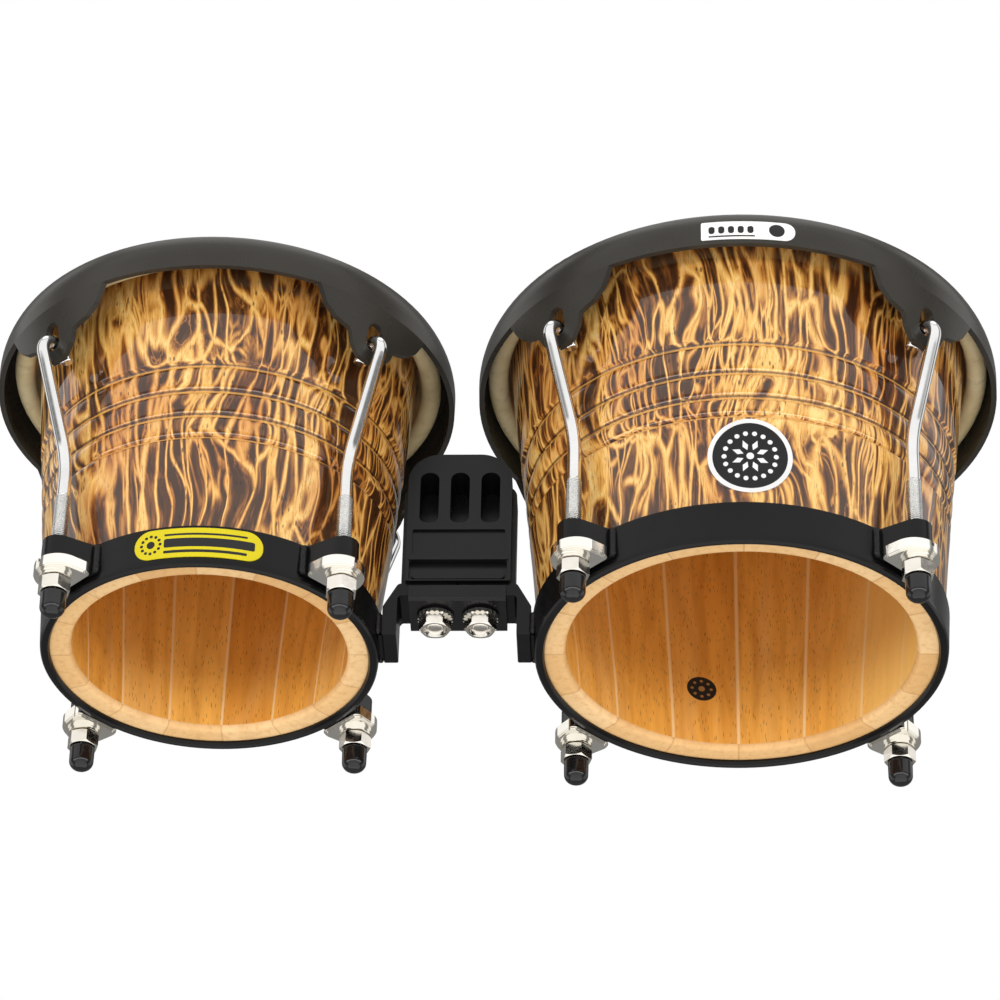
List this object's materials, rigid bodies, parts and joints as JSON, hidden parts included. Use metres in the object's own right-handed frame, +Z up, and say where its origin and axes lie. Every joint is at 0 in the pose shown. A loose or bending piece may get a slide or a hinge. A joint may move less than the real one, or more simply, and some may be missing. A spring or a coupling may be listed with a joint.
{
  "type": "bongo drums",
  "caption": "Pair of wooden hand drums joined by a centre block, heads tightened by rims with ears, hooked rods and nuts under lugs.",
  "frame": {"origin": "centre of the overall box at its base, on the tips of the rubber caps that the drums stand on", "axes": "+X from the small drum to the large drum, +Y away from the player, +Z up out of the heads"},
  "size_m": [0.4743, 0.2458, 0.1912],
  "materials": {
    "shell_wood": "gloss lacquer, flame figure outside, plain oiled wood inside",
    "ring_steel": "satin black powder coat",
    "bracket_steel": "satin black powder coat",
    "rim_steel": "satin charcoal powder coat",
    "rod_chrome": "bright chrome",
    "nickel_plate": "bright nickel plate",
    "nickel_nut": "satin nickel plate",
    "bolt_steel": "satin nickel plate",
    "hoop_steel": "plain steel",
    "cap_rubber": "smooth soft rubber",
    "skin": "matt mottled rawhide",
    "block_black": "satin black, cast",
    "badge_black": "gloss",
    "badge_silver": "bright satin",
    "yellow_label": "printed film",
    "white_label": "printed film"
  },
  "bodies": {
    "drum_frame": {"small_shell": "shell_wood", "small_bottom_ring": "ring_steel", "small_lug_straps": "ring_steel", "small_lug_plates": "nickel_plate", "small_washers": "nickel_plate", "small_bracket": "bracket_steel", "small_head": "skin", "large_shell": "shell_wood", "large_bottom_ring": "ring_steel", "large_lug_straps": "ring_steel", "large_lug_plates": "nickel_plate", "large_washers": "nickel_plate", "large_bracket": "bracket_steel", "large_head": "skin", "centre_block": "block_black", "threaded_inserts": "hoop_steel", "clamp_plate": "block_black", "clamp_flat_washers": "ring_steel", "clamp_lock_washers": "nickel_plate", "clamp_bolts": "bolt_steel", "large_badge_disc": "badge_black", "large_badge_ring": "badge_silver", "small_ring_label": "yellow_label"},
    "small_rim_set": {"small_rim": "rim_steel", "small_tuning_rods": "rod_chrome", "small_rod_caps": "cap_rubber", "small_flesh_hoop": "hoop_steel", "small_head_wrap": "skin", "small_head_collar": "skin"},
    "small_nut_1": {"small_nut_1": "nickel_nut"},
    "small_nut_2": {"small_nut_2": "nickel_nut"},
    "small_nut_3": {"small_nut_3": "nickel_nut"},
    "small_nut_4": {"small_nut_4": "nickel_nut"},
    "large_rim_set": {"large_rim": "rim_steel", "large_tuning_rods": "rod_chrome", "large_rod_caps": "cap_rubber", "large_flesh_hoop": "hoop_steel", "large_head_wrap": "skin", "large_head_collar": "skin", "large_rim_label": "white_label"},
    "large_nut_1": {"large_nut_1": "nickel_nut"},
    "large_nut_2": {"large_nut_2": "nickel_nut"},
    "large_nut_3": {"large_nut_3": "nickel_nut"},
    "large_nut_4": {"large_nut_4": "nickel_nut"}
  },
  "joints": [
    {"name": "small_tuning", "type": "slide", "parent": "drum_frame", "child": "small_rim_set", "axis": [0, 0, -1], "range_m": [0, 0.004], "deforming": ["small_head_collar"]},
    {"name": "small_nut_1_turn", "type": "hinge", "parent": "drum_frame", "child": "small_nut_1", "pos_m": [-0.06538, 0.06457, 0.015], "axis": [0, 0, 1], "range_deg": [0, 1440]},
    {"name": "small_nut_2_turn", "type": "hinge", "parent": "drum_frame", "child": "small_nut_2", "pos_m": [-0.19307, 0.06312, 0.015], "axis": [0, 0, 1], "range_deg": [0, 1440]},
    {"name": "small_nut_3_turn", "type": "hinge", "parent": "drum_frame", "child": "small_nut_3", "pos_m": [-0.19162, -0.06457, 0.015], "axis": [0, 0, 1], "range_deg": [0, 1440]},
    {"name": "small_nut_4_turn", "type": "hinge", "parent": "drum_frame", "child": "small_nut_4", "pos_m": [-0.06393, -0.06312, 0.015], "axis": [0, 0, 1], "range_deg": [0, 1440]},
    {"name": "large_tuning", "type": "slide", "parent": "drum_frame", "child": "large_rim_set", "axis": [0, 0, -1], "range_m": [0, 0.004], "deforming": ["large_head_collar"]},
    {"name": "large_nut_1_turn", "type": "hinge", "parent": "drum_frame", "child": "large_nut_1", "pos_m": [0.18955, 0.07631, 0.015], "axis": [0, 0, 1], "range_deg": [0, 1440]},
    {"name": "large_nut_2_turn", "type": "hinge", "parent": "drum_frame", "child": "large_nut_2", "pos_m": [0.03809, 0.07515, 0.015], "axis": [0, 0, 1], "range_deg": [0, 1440]},
    {"name": "large_nut_3_turn", "type": "hinge", "parent": "drum_frame", "child": "large_nut_3", "pos_m": [0.03925, -0.07631, 0.015], "axis": [0, 0, 1], "range_deg": [0, 1440]},
    {"name": "large_nut_4_turn", "type": "hinge", "parent": "drum_frame", "child": "large_nut_4", "pos_m": [0.19071, -0.07515, 0.015], "axis": [0, 0, 1], "range_deg": [0, 1440]}
  ],
  "couplings": [
    {"joint": "small_nut_1_turn", "follows": "small_tuning", "rad_per_m": 6283.2},
    {"joint": "small_nut_2_turn", "follows": "small_tuning", "rad_per_m": 6283.2},
    {"joint": "small_nut_3_turn", "follows": "small_tuning", "rad_per_m": 6283.2},
    {"joint": "small_nut_4_turn", "follows": "small_tuning", "rad_per_m": 6283.2},
    {"joint": "large_nut_1_turn", "follows": "large_tuning", "rad_per_m": 6283.2},
    {"joint": "large_nut_2_turn", "follows": "large_tuning", "rad_per_m": 6283.2},
    {"joint": "large_nut_3_turn", "follows": "large_tuning", "rad_per_m": 6283.2},
    {"joint": "large_nut_4_turn", "follows": "large_tuning", "rad_per_m": 6283.2}
  ]
}
